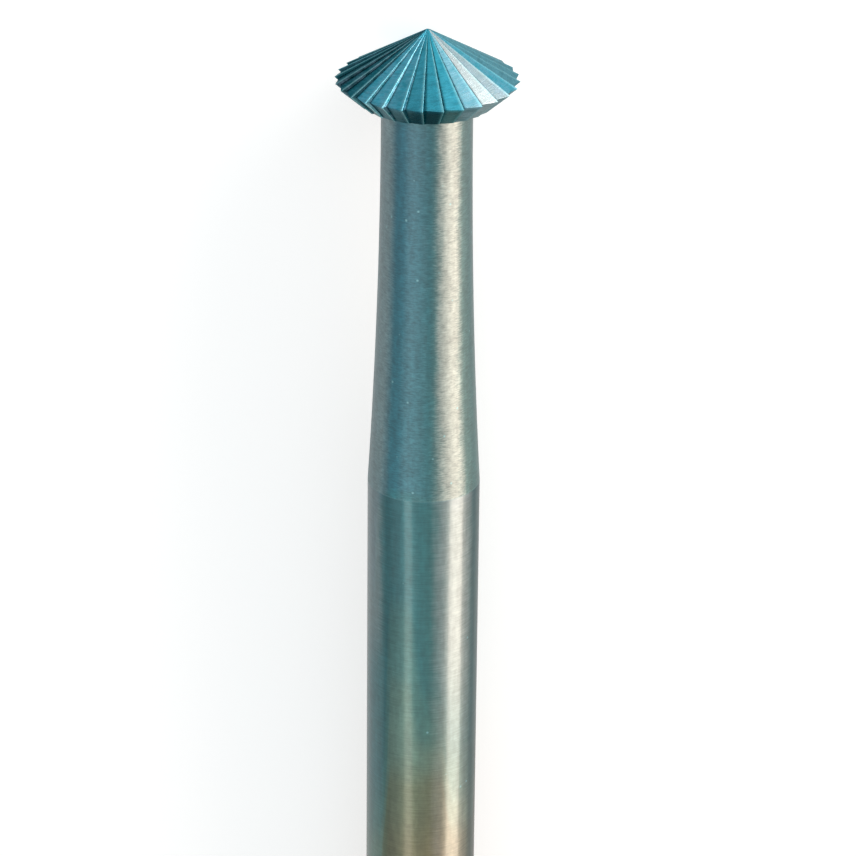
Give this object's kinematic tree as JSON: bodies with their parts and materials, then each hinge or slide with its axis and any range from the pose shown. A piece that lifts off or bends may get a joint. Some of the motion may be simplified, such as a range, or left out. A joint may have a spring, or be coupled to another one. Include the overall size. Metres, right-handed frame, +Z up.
{
  "type": "carbide burr",
  "caption": "Small rotary burr: a double-cone cutting head with straight radial saw teeth on a flared ground neck and a straight round handpiece shank.",
  "frame": {"origin": "on the resting surface, below the middle of the tool's length and width", "axes": "+X along the tool towards its point, +Y to its left seen from the shank, +Z up; the tool lies on two cutting edges of its head and the rim of its shank's end"},
  "size_m": [0.0446, 0.0038, 0.0037],
  "materials": {
    "tinted_steel": "fine-ground steel with a blue heat tint that turns straw brown along the shank"
  },
  "bodies": {
    "root": {"burr": "tinted_steel"}
  },
  "joints": []
}
